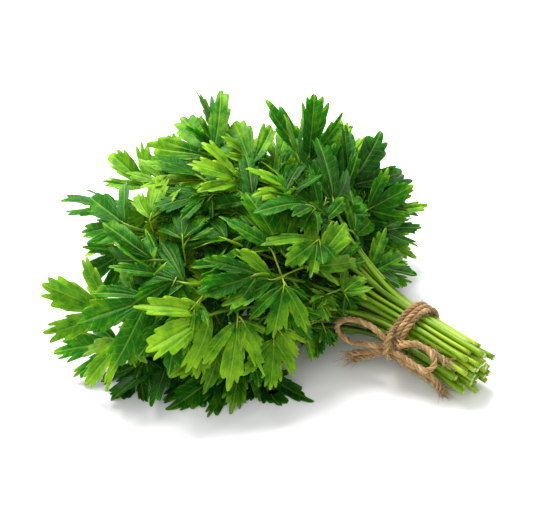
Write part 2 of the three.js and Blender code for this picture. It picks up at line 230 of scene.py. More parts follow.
@dataclass
class Surface:
    """The faces of one piece while they are gathered, in millimetres from the foot of the tie."""

    points: list[Array] = field(default_factory=list)
    tones: list[Array] = field(default_factory=list)
    corners: list[Array] = field(default_factory=list)
    charts: list[Array] = field(default_factory=list)
    sizes: list[Array] = field(default_factory=list)
    finishes: list[Array] = field(default_factory=list)
    smooth: list[Array] = field(default_factory=list)
    count: int = 0

    def add_points(self, points: Array, tone: Array | float) -> int:
        """Adds points and their tones, and returns the number of the first."""
        first = self.count
        self.points.append(points)
        self.tones.append(np.broadcast_to(tone, len(points)))
        self.count += len(points)
        return first

    def add_faces(self, faces: Array, finish: int, chart: Array, smooth: bool = True) -> None:
        """Adds faces that all have the same number of corners.

        Args:
            faces: the point numbers of each face.
            finish: which of the piece's materials they have.
            chart: two numbers for each corner of each face, in millimetres across and along.
            smooth: whether light runs smoothly over them.
        """
        self.corners.append(faces.ravel())
        self.charts.append(chart.reshape(-1, 2))
        self.sizes.append(np.full(len(faces), faces.shape[1]))
        self.finishes.append(np.full(len(faces), finish))
        self.smooth.append(np.full(len(faces), smooth))

    def add_tube(
        self,
        path: Array,
        radius: Array | float,
        sides: int,
        finish: int,
        tone: Array | float,
        ridge: float = 0.0,
        cut_finish: int | None = None,
        turn: float = 0.0,
    ) -> None:
        """Adds a closed round tube.

        Args:
            path: its centreline.
            radius: its radius, or one for each point of the path.
            sides: faces round it.
            finish: its material.
            tone: its tone, or one for each point of the path.
            ridge: how far every other side stands out, as a share of the radius.
            cut_finish: the material of its first end.
            turn: slope of the first end's cut.
        """
        along, aside, above = frames_along(path)
        rows = len(path)
        angle = np.arange(sides) * 2 * math.pi / sides
        ribs = 1 + ridge * np.where(np.arange(sides) % 2, -1, 1)
        size = np.broadcast_to(radius, rows)[:, None] * ribs
        ring = (
            path[:, None]
            + aside[:, None] * (size * np.cos(angle))[..., None]
            + above[:, None] * (size * np.sin(angle))[..., None]
        )
        ring[0] += along[0] * (turn * size[0] * np.cos(angle))[:, None]
        points = np.concatenate([ring.reshape(-1, 3), path[:1], path[-1:]])
        row_tone = np.broadcast_to(tone, rows)
        tones = np.concatenate([np.repeat(row_tone, sides), row_tone[:1], row_tone[-1:]])
        first = self.add_points(points, tones)
        length = np.concatenate([[0], np.cumsum(np.linalg.norm(np.diff(path, axis=0), axis=1))])
        row, side = np.meshgrid(np.arange(rows - 1), np.arange(sides), indexing="ij")
        row, side = row.ravel(), side.ravel()
        after = (side + 1) % sides
        near, far = row * sides, (row + 1) * sides
        quads = np.stack([near + side, near + after, far + after, far + side], 1)
        across = np.stack([side, side + 1, side + 1, side], 1) / sides
        distance = np.stack([length[row], length[row], length[row + 1], length[row + 1]], 1)
        self.add_faces(first + quads, finish, np.stack([across, distance], 2))
        side = np.arange(sides)
        after = (side + 1) % sides
        rim = np.stack([np.zeros(sides), np.ones(sides), np.ones(sides)], 1)
        caps = np.stack([rim, np.zeros((sides, 3))], 2)
        centre = np.full(sides, rows * sides)
        start = np.stack([centre, after, side], 1)
        last = (rows - 1) * sides
        end = np.stack([centre + 1, last + side, last + after], 1)
        cut = finish if cut_finish is None else cut_finish
        self.add_faces(first + start, cut, caps, smooth=False)
        self.add_faces(first + end, finish, caps)

    def to_object(self, name: str, materials: list[bpy.types.Material]) -> bpy.types.Object:
        """Makes the gathered faces a mesh object in the row frame.

        Args:
            name: the piece's name.
            materials: its materials, in the order of their finish numbers.

        Returns:
            The new object, linked to the scene.
        """
        points = np.concatenate(self.points)
        points[:, 2] = np.maximum(points[:, 2], 0.0)
        sizes = np.concatenate(self.sizes)
        mesh = bpy.data.meshes.new(name)
        mesh.vertices.add(len(points))
        mesh.vertices.foreach_set("co", (ORIGIN + points * MM).astype(np.float32).ravel())
        corners = np.concatenate(self.corners).astype(np.int32)
        mesh.loops.add(len(corners))
        mesh.loops.foreach_set("vertex_index", corners)
        mesh.polygons.add(len(sizes))
        starts = np.concatenate([[0], np.cumsum(sizes)[:-1]])
        mesh.polygons.foreach_set("loop_start", starts.astype(np.int32))
        mesh.polygons.foreach_set("material_index", np.concatenate(self.finishes).astype(np.int32))
        mesh.polygons.foreach_set("use_smooth", np.concatenate(self.smooth))
        chart = mesh.uv_layers.new(name="chart")
        chart.data.foreach_set("uv", np.concatenate(self.charts).astype(np.float32).ravel())
        tone = mesh.attributes.new("tone", "FLOAT", "POINT")
        tone.data.foreach_set("value", np.concatenate(self.tones).astype(np.float32))
        mesh.update(calc_edges=True)
        mesh.validate()
        for material in materials:
            mesh.materials.append(material)
        piece = bpy.data.objects.new(name, mesh)
        bpy.context.scene.collection.objects.link(piece)
        return piece


def frames_along(path: Array) -> tuple[Array, Array, Array]:
    """Directions along a path, and two square to it that turn no more than they have to."""
    along = unit(np.gradient(path, axis=0))
    asides = [unit(np.cross(along[0], np.eye(3)[np.argmin(np.abs(along[0]))]))]
    for direction in along[1:]:
        asides.append(unit(asides[-1] - direction * (asides[-1] @ direction)))
    aside = np.array(asides)
    return along, aside, np.cross(along, aside)


# ---- Leaf blades ----

# Half of a leaflet's outline from its tip to its stalk: angle from the midrib (degrees) and
# distance from the stalk, as a share of the leaflet's length. Points and notches take turns.
MIDDLE_LOBE = ((0, 1.0), (5, 0.87), (9.5, 0.92), (12.5, 0.77), (17, 0.8), (19.5, 0.62), (22, 0.58))
SPLIT = (24.5, 0.27)
SIDE_LOBE = (
    (27.5, 0.52), (30, 0.53), (34, 0.81), (37, 0.75), (41.5, 0.92), (45, 0.79), (50, 0.82),
    (53.5, 0.65), (58, 0.64), (61.5, 0.42), (66, 0.38),
)
FOOT = (70, 0.1)
SPLIT_POINT = len(MIDDLE_LOBE)


@dataclass(frozen=True)
class BladeForm:
    """How parsley blades are toothed, folded and curled.

    A pair is a mean and a spread, or, where it is called a range, the least and the most.
    Heights are in millimetres on a blade of `LEAFLET_LENGTH`, unless they are shares of it.
    """

    thickness: float = 0.4
    rings: int = 6  # faces from the stalk to the edge
    steps: int = 3  # faces from a point to a notch
    angle_spread: float = 0.7  # degrees
    reach_spread: float = 0.04
    split_range: Pair = (0.7, 1.15)
    side_lobe_range: Pair = (0.85, 1.08)
    fan_range: Pair = (0.86, 1.04)
    tooth_roundness: float = 2.2
    cup: Pair = (-0.1, 0.13)
    sag_range: Pair = (0.06, 0.3)
    fold: Pair = (0.2, 0.1)  # slope of each lobe's halves up from its main vein
    twist_spread: float = 0.22
    lift: Pair = (-0.06, 0.16)
    lift_from: float = 0.3  # share of the length where lobes begin to lift or droop
    lobe_blend: float = math.radians(1.6)
    vein_angle: float = math.radians(5)  # side lobes' main veins, inward from their middle
    vein_depth: float = 0.3
    vein_width: float = 0.7
    wave_count_range: Pair = (9, 14)
    wave_height_range: Pair = (0.5, 1.3)
    pleat: float = 0.6
    pleat_end: float = 1.08  # share of the way out where pleats would end
    stalk_hole: float = 0.03  # share of the way out where the blade starts
    ring_ease: float = 0.85
    fan_closing: float = 0.10
    floor_gap: float = 0.2
    edge_thinning: float = 0.6
    tone_gain: float = 0.24  # edges are paler than the middle
    tone_middle: float = 0.55
    rim_chart: float = 3.0  # a place in the chart with no vein


@dataclass(frozen=True)
class Blade:
    """A leaflet's blade: base point, directions, length, tone and the traits that are its own."""

    base: Array
    tip: Array
    across: Array
    face: Array
    length: float
    tone: float
    rng: np.random.Generator
    form: BladeForm = BladeForm()

    def outline(self) -> tuple[Array, Array, Array, Array]:
        """The toothed edge.

        Returns:
            Angle and distance of each edge point, whether it is on a vein (-1) or in a notch (1),
            and the numbers of the columns where one lobe gives way to the next.
        """
        form, rng = self.form, self.rng
        half = np.array([*MIDDLE_LOBE, SPLIT, *SIDE_LOBE, FOOT])
        halves = []
        for _ in range(2):
            own = half.copy()
            own[1:, 0] += rng.normal(0, form.angle_spread, len(own) - 1)
            own[:, 1] *= 1 + rng.normal(0, form.reach_spread, len(own))
            own[SPLIT_POINT, 1] *= rng.uniform(*form.split_range)
            own[SPLIT_POINT + 1 :, 1] *= rng.uniform(*form.side_lobe_range)
            own[:, 0] *= rng.uniform(*form.fan_range)
            halves.append(own)
        left, right = halves
        left[:, 0] *= -1
        corner = np.vstack([left[:0:-1], right])
        share = np.arange(form.steps) / form.steps
        start, end = corner[:-1], corner[1:]
        angle = start[:, :1] + (end[:, :1] - start[:, :1]) * share
        rising = end[:, 1:] > start[:, 1:]
        climb = np.where(rising, share, 1 - share)
        low = np.minimum(start[:, 1:], end[:, 1:])
        high = np.maximum(start[:, 1:], end[:, 1:])
        reach = low + (high - low) * (1 - (1 - climb) ** form.tooth_roundness)
        pleat = 1 - 2 * climb
        middle = len(half) - 1
        splits = np.array([middle - SPLIT_POINT, middle + SPLIT_POINT]) * form.steps
        return (
            np.radians(np.append(angle.ravel(), corner[-1, 0])),
            np.append(reach.ravel(), corner[-1, 1]),
            np.append(pleat.ravel(), 1.0),
            splits,
        )

    def heights(
        self, angle: Array, radius: Array, pleat: Array, splits: Array
    ) -> Array:
        """How far each point of the blade stands out of its plane.

        Args:
            angle: each column's angle from the midrib.
            radius: each point's distance from the stalk.
            pleat: -1 for a column on a vein and 1 for one in a notch.
            splits: columns where the lobes meet.

        Returns:
            The heights, by column and ring.
        """
        form, rng, length = self.form, self.rng, self.length
        share = radius / radius[:, -1:]
        x, y = radius * np.sin(angle)[:, None], radius * np.cos(angle)[:, None]
        right = 1 / (1 + np.exp(-(angle - angle[splits[1]]) / form.lobe_blend))
        left = 1 / (1 + np.exp((angle - angle[splits[0]]) / form.lobe_blend))
        height = rng.normal(*form.cup) * x**2 / length
        height = height - rng.uniform(*form.sag_range) * y**2 / length
        for weight, lobe in zip((left, 1 - left - right, right), self.lobe_angles(angle, splits)):
            lateral = (angle - lobe)[:, None] * radius
            fold = rng.normal(*form.fold) * (np.sqrt(lateral**2 + 1) - 1)
            twist = rng.normal(0, form.twist_spread) * lateral * radius / length
            lift = rng.normal(*form.lift) * np.maximum(radius - form.lift_from * length, 0)
            vein = -form.vein_depth * np.exp(-((lateral / form.vein_width) ** 2))
            height = height + weight[:, None] * (fold + twist + lift + vein)
        count, phase = rng.uniform(*form.wave_count_range), rng.uniform(0, 2 * math.pi)
        waves = np.sin(angle * count + phase)[:, None]
        height = height + rng.uniform(*form.wave_height_range) * waves * share**2
        pleats = form.pleat * pleat[:, None] * (share * (form.pleat_end - share))
        return height + pleats * length / LEAFLET_LENGTH

    def lobe_angles(self, angle: Array, splits: Array) -> Triple:
        """Angles of the main veins of the left, middle and right lobes."""
        left = (angle[0] + angle[splits[0]]) / 2 + self.form.vein_angle
        return left, 0.0, (angle[-1] + angle[splits[1]]) / 2 - self.form.vein_angle

    def add_to(self, surface: Surface) -> None:
        """Adds the blade's upper skin, underside and edge to the sprig's surface."""
        form = self.form
        angle, reach, pleat, splits = self.outline()
        columns, rows = len(angle), form.rings + 1
        share = np.linspace(form.stalk_hole, 1, rows) ** form.ring_ease
        radius = self.length * reach[:, None] * share
        height = self.heights(angle, radius, pleat, splits)
        bow = angle[:, None] * (1 - form.fan_closing * share**2)
        top = (
            self.base
            + self.across * (radius * np.sin(bow))[..., None]
            + self.tip * (radius * np.cos(bow))[..., None]
            + self.face * height[..., None]
        )
        top[..., 2] = np.maximum(top[..., 2], form.thickness + form.floor_gap)
        thickness = form.thickness * (1 - form.edge_thinning * share**4)
        under = top - self.face * thickness[:, None]
        tone = self.tone + form.tone_gain * (share - form.tone_middle) + np.zeros((columns, 1))
        first = surface.add_points(top.reshape(-1, 3), tone.ravel())
        below = surface.add_points(under.reshape(-1, 3), tone.ravel()) - first
        column, row = np.meshgrid(np.arange(columns - 1), np.arange(rows - 1), indexing="ij")
        column, row = column.ravel(), row.ravel()
        cells = [(column, row), (column + 1, row), (column + 1, row + 1), (column, row + 1)]
        quads = np.stack([c * rows + r for c, r in cells], 1)
        lobes = np.array(self.lobe_angles(angle, splits))
        lobe = lobes[(column >= splits[0]).astype(int) + (column >= splits[1])]
        corners = [np.stack([(angle[c] - lobe) * radius[c, r], radius[c, r]], 1) for c, r in cells]
        chart = np.stack(corners, 1)
        surface.add_faces(first + quads, Finish.BLADE, chart)
        surface.add_faces(first + below + quads[:, ::-1], Finish.UNDERSIDE, chart[:, ::-1])
        last = columns - 1
        edge = np.concatenate(
            [
                np.arange(columns) * rows,
                last * rows + np.arange(1, rows),
                np.arange(last - 1, -1, -1) * rows + rows - 1,
                np.arange(rows - 2, 0, -1),
            ]
        )
        after = np.roll(edge, -1)
        rim = np.stack([after, edge, edge + below, after + below], 1)
        no_vein = np.full((len(rim), 4, 2), form.rim_chart)
        surface.add_faces(first + rim, Finish.BLADE, no_vein, smooth=False)


# ---- Sprigs ----


@dataclass(frozen=True)
class Node:
    """Where a pair of stalks leaves the stem, and what it carries."""

    below_head: float
    longer_stalk: float
    spread: float  # degrees from the middle leaflet
    leaflet: float  # length, as a share of the sprig's full leaflet


UPPER_NODE = Node(18.0, 0.0, 62.0, 0.76)
LOWER_NODE = Node(42.0, 9.0, 54.0, 0.66)
LOWEST_NODE = Node(66.0, 12.0, 62.0, 0.66)


@dataclass(frozen=True)
class SprigForm:
    """How parsley sprigs grow: sizes in millimetres, angles in degrees, the rest as shares."""

    stem_radius: float = 1.52
    head_radius: float = 0.85
    taper: Pair = (0.25, 0.95)  # where the stem's taper starts and ends
    closing: Pair = (0.96, 0.55)  # where the stem runs out into the blade, and how much it shrinks
    width_spread: float = 0.10
    stem_sides: int = 16
    stem_step: float = 4.0
    bend_points: int = 5  # one in so many of the bend's samples shapes the stem
    ridge: float = 0.055
    cut_slope: float = 0.25
    splay: float = 0.08  # how far the cut ends stand apart
    sway: float = 0.5
    bend: Pair = (0.44, 0.06)  # of the reach: straight on out of the tie, and straight into the head
    stem_end: Pair = (5.0, 0.5)  # into the blade, and behind its face
    floor_gap: float = 0.05
    stem_tone: Triple = (0.35, 0.3, 0.25)  # middle, share of the head's tone, spread
    stalk_length: float = 13.0
    stalk_radii: Pair = (0.62, 0.3)
    stalk_sides: int = 8
    stalk_step: float = 2.5
    stalk_bow: float = 1.2
    stalk_end: Pair = (4.0, 0.35)
    stalk_tone: Pair = (0.2, 0.6)  # least, and share of the blade's tone
    bare_stem: float = 66.0  # no lower pair grows nearer to the tie than this
    lower_lift: float = 3.0  # how far lower leaflets stand out of the stem
    end_leaflet: float = 0.95
    spread_chance: float = 5.0
    small_leaflet: float = 0.45
    small_spread: float = 40.0
    small_foot: Triple = (0.6, 4.0, 1.5)  # share of the stalk, then out from it and up
    blade_roll: float = 0.24
    blade_tipping: Pair = (-0.1, 0.2)
    blade_tone: float = 0.09
    blade_size: Pair = (0.94, 1.06)


@dataclass
class Sprig:
    """One sprig: a ridged stem from its cut end to its head, its stalks and its leaflets."""

    number: int
    head: Head
    slot: Array
    cut: float
    form: SprigForm = SprigForm()

    def __post_init__(self) -> None:
        """Works out the head's directions and the stem's line."""
        self.rng = np.random.default_rng(FIRST_SEED + self.number)
        self.tip, self.face, self.across = self.axes()
        self.root = TIE + AXIS * SPREAD_START + SIDE * self.slot[0] + RISE * self.slot[1]
        self.reach = np.linalg.norm(self.head.place - self.root)
        leave, arrive = self.form.bend
        first = self.root + AXIS * leave * self.reach
        second = self.head.place - self.tip * arrive * self.reach
        self.line = bezier(self.root, first, second, self.head.place, BEND_SAMPLES)

    def axes(self) -> tuple[Array, Array, Array]:
        """Directions along the middle leaflet, out of its face and across it.

        Blades face out of the dome, and the lower they are the more they lie flat.
        """
        heading, pitch = math.radians(self.head.heading), math.radians(self.head.pitch)
        level = math.cos(pitch)
        tip = np.array([level * math.cos(heading), level * math.sin(heading), math.sin(pitch)])
        place = self.head.place
        outward = (place - DOME_CENTRE) / DOME_SIZE**2
        outward[2] = max(outward[2], 0) + FACE_UP + LOW_FACE_UP / place[2]
        face = unit(outward - tip * (outward @ tip))
        roll = math.radians(self.head.roll)
        face = face * math.cos(roll) + np.cross(tip, face) * math.sin(roll)
        return tip, face, np.cross(tip, face)

    def point_below_head(self, distance: float) -> Array:
        """The stem's point that is this far before its head."""
        steps = np.linalg.norm(np.diff(self.line, axis=0), axis=1)
        before = np.concatenate([[0], np.cumsum(steps[::-1])])[::-1]
        return self.line[np.argmin(np.abs(before - distance))]

    def add_stem(self, surface: Surface) -> None:
        """Adds the stem, thick and pale at its cut end and thin at its head."""
        form, number = self.form, self.number
        start = self.root - AXIS * self.cut
        outward = (SIDE * self.slot[0] + RISE * self.slot[1]) * form.splay
        sway = self.rng.normal(0, form.sway, 3) * (1 - abs(AXIS))
        end = self.head.place + self.tip * form.stem_end[0] - self.face * form.stem_end[1]
        shaft = np.stack([start + outward + sway, start + AXIS * self.cut / 2, self.root])
        bend = self.line[form.bend_points - 1 :: form.bend_points]
        path = spline(np.vstack([shaft, bend, end]), form.stem_step)
        share = np.linspace(0, 1, len(path))
        thinner = form.head_radius - form.stem_radius
        radius = form.stem_radius + thinner * smooth_step(*form.taper, share)
        closing = 1 - form.closing[1] * smooth_step(form.closing[0], 1.0, share)
        radius *= (1 + form.width_spread * vary(number, Trait.STEM_WIDTH)) * closing
        path[:, 2] = np.maximum(path[:, 2], radius + form.floor_gap)
        middle, of_head, spread = form.stem_tone
        surface.add_tube(
            path,
            radius,
            form.stem_sides,
            Finish.STEM,
            self.head.tone * of_head + middle + spread * vary(number, Trait.STEM_TONE),
            ridge=form.ridge,
            cut_finish=Finish.CUT,
            turn=form.cut_slope * vary(number, Trait.CUT_SLOPE),
        )

    def add_stalk(self, surface: Surface, start: Array, blade: Blade) -> None:
        """Adds the stalk from the stem's point `start` to a blade."""
        form = self.form
        middle = (start + blade.base) / 2 + self.face * form.stalk_bow
        end = blade.base + blade.tip * form.stalk_end[0] - blade.face * form.stalk_end[1]
        path = spline(np.stack([start, middle, blade.base, end]), form.stalk_step)
        radius = np.linspace(*form.stalk_radii, len(path))
        tone = blade.tone * form.stalk_tone[1] + form.stalk_tone[0]
        surface.add_tube(path, radius, form.stalk_sides, Finish.STEM, tone)

    def nodes(self) -> list[Node]:
        """The pairs of stalks: one on short stems, more on long ones and at the back."""
        nodes = [UPPER_NODE]
        if self.reach > LOWER_NODE.below_head + self.form.bare_stem:
            nodes.append(LOWER_NODE)
        if self.number >= len(SHOW_SPRIGS) and self.head.place[0] < DOME_CENTRE[0]:
            nodes.append(LOWEST_NODE)
        return nodes

    def toward(self, angle: float) -> Array:
        """The direction in the head's plane at an angle from the middle leaflet."""
        return self.tip * math.cos(angle) + self.across * math.sin(angle)

    def blades(self) -> list[tuple[Array, Blade]]:
        """The leaflets, each with the stem point that its stalk starts from."""
        form, place = self.form, self.head.place
        length = LEAFLET_LENGTH * self.head.size
        made = [(place, self.blade(place, self.tip, 0.0, length * form.end_leaflet))]
        on_stalk, out, up = form.small_foot
        for node in self.nodes():
            stalk = form.stalk_length * min(self.head.size, 1.0) + node.longer_stalk
            for hand in (1, -1):
                chance = self.rng.normal(0, form.spread_chance)
                angle = math.radians(hand * node.spread + chance)
                aside = self.toward(angle)
                start = self.point_below_head(node.below_head)
                base = place - self.tip * node.below_head + aside * stalk
                if node is not UPPER_NODE:
                    base = start + aside * stalk + self.face * form.lower_lift
                made.append((start, self.blade(base, aside, angle, length * node.leaflet)))
                away = angle + math.radians(hand * form.small_spread)
                outer = self.toward(away)
                middle = start + (base - start) * on_stalk
                foot = middle + outer * out + self.face * up
                small = self.blade(foot, outer, away, length * form.small_leaflet)
                made.append((middle, small))
        return made

    def blade(self, base: Array, tip: Array, angle: float, length: float) -> Blade:
        """A blade at `base` that points along `tip`, rolled and tipped a little by its own chance."""
        rng, form = self.rng, self.form
        roll = rng.normal(0, form.blade_roll)
        tipping = 0.0 if angle == 0.0 else rng.normal(*form.blade_tipping)
        tip = unit(tip + self.face * tipping)
        face = self.face + np.cross(tip, self.face) * roll
        face = unit(face - tip * (face @ tip))
        tone = self.head.tone + rng.normal(0, form.blade_tone)
        length *= rng.uniform(*form.blade_size)
        return Blade(base, tip, np.cross(tip, face), face, length, tone, rng)

    def build(self) -> Surface:
        """The whole sprig as one surface."""
        surface = Surface()
        self.add_stem(surface)
        for start, blade in self.blades():
            if start is not self.head.place:
                self.add_stalk(surface, start, blade)
            blade.add_to(surface)
        return surface

    def dress(self, finishes: list[bpy.types.Material]) -> bpy.types.Object:
        """Makes the piece, in the place of the frame's own sprig."""
        name = f"sprig_{self.number + 1:02d}"
        piece = self.build().to_object(f"parsley_{name}", finishes)
        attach(piece, "root")
        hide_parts(name)
        return piece


@dataclass
class Bunch:
    """All the sprigs, laid out round the dome of leaves and packed at the tie."""

    back_sprigs: int = 12
    back_headings: Pair = (88, 203)
    back_rows: tuple[Triple, ...] = ((0.95, 16, -8), (0.88, 46, 22))  # of the dome, height, pitch
    back_chance: Triple = (25, 0.12, 0.3)  # of their roll, size and tone
    back_tone: float = 0.45
    inner_sprigs: int = 6
    inner_x: float = -126.0
    inner_reach: Pair = (42.0, 48.0)
    inner_heights: Pair = (34, 56)
    inner_pitch: float = 20
    inner_roll: float = 20
    inner_size: float = 1.1
    # Inner sprigs get a darker tone: painted shade for the inside of the bunch, which their stems
    # share.
    inner_painted_shade_tone: float = 0.2

    def heads(self) -> list[Head]:
        """The heads on the open side, then those at the back, then those inside."""
        heads = [Head(np.array(row[:3], float), *row[3:]) for row in SHOW_SPRIGS]
        first, last = self.back_headings
        by_roll, by_size, by_tone = self.back_chance
        for j in range(self.back_sprigs):
            share, height, pitch = self.back_rows[j % 2]
            heading = first + (last - first) * j / (self.back_sprigs - 1)
            place = self.around(DOME_CENTRE[0], DOME_SIZE * share, heading, height)
            roll = by_roll * vary(j, Trait.ROLL)
            size = 1 + by_size * vary(j, Trait.SIZE)
            tone = self.back_tone + by_tone * vary(j, Trait.TONE)
            heads.append(Head(place, heading, pitch, roll, size, tone))
        for j in range(self.inner_sprigs):
            heading = 90 + 360 * j / self.inner_sprigs
            place = self.around(self.inner_x, self.inner_reach, heading, self.inner_heights[j % 2])
            roll = self.inner_roll * vary(j, Trait.ROLL)
            # The inner sprigs' darker tone is painted shade.
            rest = (self.inner_size, self.inner_painted_shade_tone)
            heads.append(Head(place, heading, self.inner_pitch, roll, *rest))
        return heads

    @staticmethod
    def around(x: float, reach: Pair, heading: float, height: float) -> Array:
        """A point on an upright ellipse round the dome's middle, at a heading and a height."""
        angle = math.radians(heading)
        y = DOME_CENTRE[1] + reach[1] * math.sin(angle)
        return np.array([x + reach[0] * math.cos(angle), y, height])

    @staticmethod
    def slots(heads: list[Head]) -> Array:
        """Each head's place in the bundle, sideways and up from its centreline.

        The places are a sunflower spiral. Stems that bend one way stand on that side of the
        bundle: pairs swap places until no swap helps.
        """
        runs = [head.place - TIE for head in heads]
        bends = np.array([[run @ SIDE, run @ RISE] / np.linalg.norm(run) ** 1.5 for run in runs])
        count = len(heads)
        radius = PACK_RADIUS * np.sqrt((np.arange(count) + 0.5) / count)
        angle = np.arange(count) * GOLDEN_ANGLE
        slots = np.stack([radius * np.cos(angle), radius * np.sin(angle)], 1)
        swapped = True
        while swapped:
            swapped = False
            for i in range(count):
                for j in range(i + 1, count):
                    if (slots[i] - slots[j]) @ (bends[i] - bends[j]) < -TINY:
                        slots[[i, j]] = slots[[j, i]]
                        swapped = True
        return slots

    def build(self) -> list[Sprig]:
        """The sprigs in their places."""
        heads = self.heads()
        slots = self.slots(heads)
        cuts = [SPREAD_START + CUT_LENGTH + CUT_SPREAD * vary(i, Trait.CUT) for i in range(len(heads))]
        return [Sprig(i, head, slots[i], cuts[i]) for i, head in enumerate(heads)]


# ---- Twine ----


@dataclass(frozen=True)
class JuteFuzz:
    """Fibres that stand out of the twine, and the frayed brush at each cut end.

    Sizes are in millimetres; a field called a range holds the least and the most.
    """

    per_sample: float = 2.0
    points: int = 5
    clear_of_ends: int = 4  # samples
    slant: float = 0.6
    reach_range: Pair = (1.5, 4.5)
    rise_range: Pair = (0.3, 1.5)
    arch_range: Pair = (1.2, 2.6)  # radians of a sine wave
    from_centre: float = 1.35
    radii: Pair = (0.07, 0.04)
    sides: int = 3
    tone_range: Pair = (0.4, 1.0)
    brush_fibres: int = 46
    brush_slant: float = 0.35
    brush_scatter: float = 0.7
    brush_root: float = 2.0  # how far inside the twine the brush starts
    brush_reach_range: Pair = (4, 7.5)
    brush_bend: float = 0.5
    brush_radii: Pair = (0.13, 0.05)
    brush_sides: int = 4
    brush_tone_range: Pair = (0.3, 1.0)

    def build(self, path: Array) -> Surface:
        """The fibres along a centreline and at its ends."""
        surface = Surface()
        rng = np.random.default_rng(FUZZ_SEED)
        along, aside, above = frames_along(path)
        t = np.linspace(0, 1, self.points)[:, None]
        for _ in range(round(self.per_sample * len(path))):
            at = rng.integers(self.clear_of_ends, len(path) - self.clear_of_ends)
            angle = rng.uniform(0, 2 * math.pi)
            outward = aside[at] * math.cos(angle) + above[at] * math.sin(angle)
            sideways = np.cross(along[at], outward) * rng.normal(0, self.slant)
            heading = along[at] * rng.choice([-1, 1]) + sideways
            reach = rng.uniform(*self.reach_range)
            rise = rng.uniform(*self.rise_range) * np.sin(t * rng.uniform(*self.arch_range))
            line = path[at] + outward * (self.from_centre + rise) + heading * t * reach
            radius = np.linspace(*self.radii, self.points)
            surface.add_tube(line, radius, self.sides, 0, rng.uniform(*self.tone_range))
        for end, direction in ((0, -along[0]), (-1, along[-1])):
            for _ in range(self.brush_fibres):
                spread = rng.normal(0, self.brush_slant, 3)
                root = path[end] + rng.normal(0, self.brush_scatter, 3)
                start = root - direction * self.brush_root
                bend = rng.normal(0, self.brush_bend, 3)
                reach = rng.uniform(*self.brush_reach_range)
                line = start + (direction + spread) * t * reach + bend * t**2
                radius = np.linspace(*self.brush_radii, self.points)
                tone = rng.uniform(*self.brush_tone_range)
                surface.add_tube(line, radius, self.brush_sides, 0, tone)
        return surface


